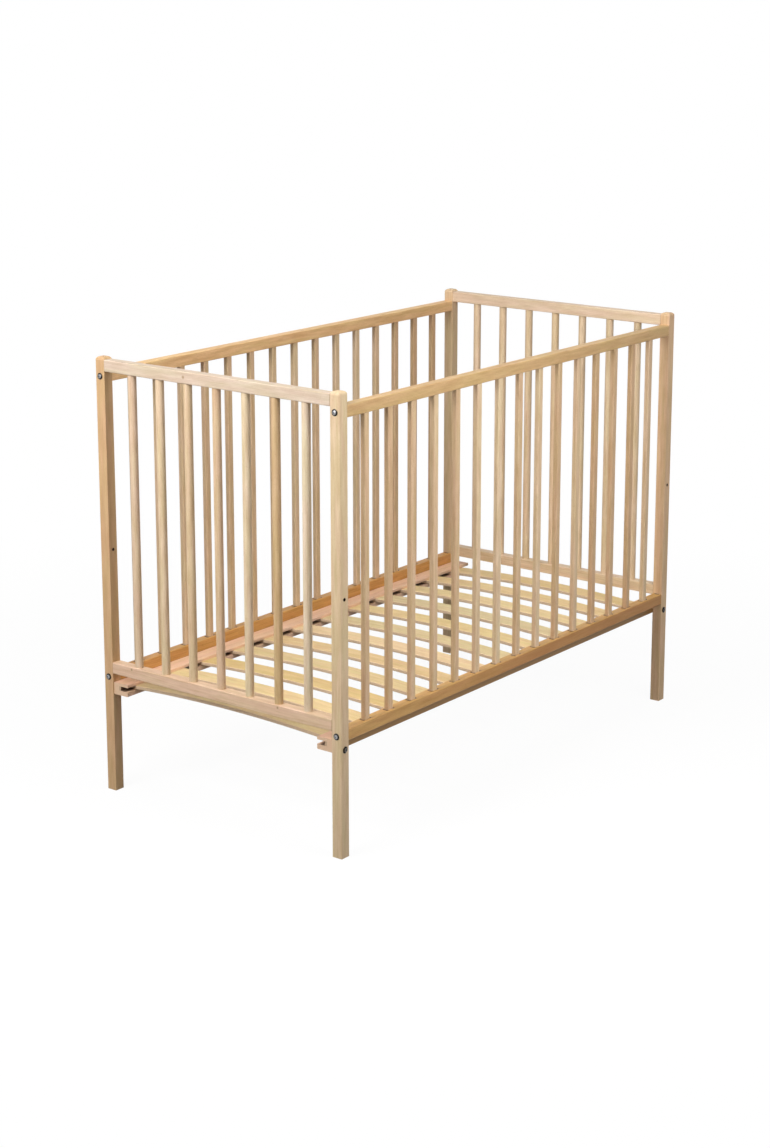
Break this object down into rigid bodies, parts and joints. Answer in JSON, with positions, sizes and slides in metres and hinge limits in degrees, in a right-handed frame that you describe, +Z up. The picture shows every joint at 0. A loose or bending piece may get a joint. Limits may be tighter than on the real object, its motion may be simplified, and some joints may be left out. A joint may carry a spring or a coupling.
{
  "type": "baby crib",
  "caption": "Wooden baby cot with square posts, round-barred ends, flat-barred sides and a sprung slat base that bolts on at a low or a raised level.",
  "frame": {"origin": "on the floor, in the middle of the footprint", "axes": "+X along the cot from the foot end to the head end, +Y across it from front to back, +Z up"},
  "size_m": [1.2536, 0.6536, 0.948],
  "materials": {
    "post_beech": "sanded natural beech with a thin matt varnish",
    "rail_beech": "sanded natural beech with a thin matt varnish",
    "bar_beech": "turned or planed natural beech with a thin matt varnish",
    "base_beech": "planed natural beech, grooved",
    "slat_birch": "bent birch laminate, smooth",
    "zinc_steel": "zinc plated, satin"
  },
  "bodies": {
    "root": {"foot_front_post": "post_beech", "foot_back_post": "post_beech", "head_front_post": "post_beech", "head_back_post": "post_beech", "foot_top_rail": "rail_beech", "foot_bottom_rail": "rail_beech", "head_top_rail": "rail_beech", "head_bottom_rail": "rail_beech", "foot_bar_1": "bar_beech", "foot_bar_2": "bar_beech", "foot_bar_3": "bar_beech", "foot_bar_4": "bar_beech", "foot_bar_5": "bar_beech", "foot_bar_6": "bar_beech", "foot_bar_7": "bar_beech", "head_bar_1": "bar_beech", "head_bar_2": "bar_beech", "head_bar_3": "bar_beech", "head_bar_4": "bar_beech", "head_bar_5": "bar_beech", "head_bar_6": "bar_beech", "head_bar_7": "bar_beech", "front_top_rail": "rail_beech", "front_bottom_rail": "rail_beech", "back_top_rail": "rail_beech", "back_bottom_rail": "rail_beech", "front_bars": "bar_beech", "back_bars": "bar_beech", "front_base_rail": "base_beech", "back_base_rail": "base_beech", "slat_1": "slat_birch", "slat_2": "slat_birch", "slat_3": "slat_birch", "slat_4": "slat_birch", "slat_5": "slat_birch", "slat_6": "slat_birch", "slat_7": "slat_birch", "slat_8": "slat_birch", "slat_9": "slat_birch", "slat_10": "slat_birch", "slat_11": "slat_birch", "slat_12": "slat_birch", "frame_pins": "bar_beech", "side_bolts": "zinc_steel", "base_bolts": "zinc_steel", "barrel_nuts": "zinc_steel", "base_inserts": "zinc_steel"}
  },
  "joints": []
}
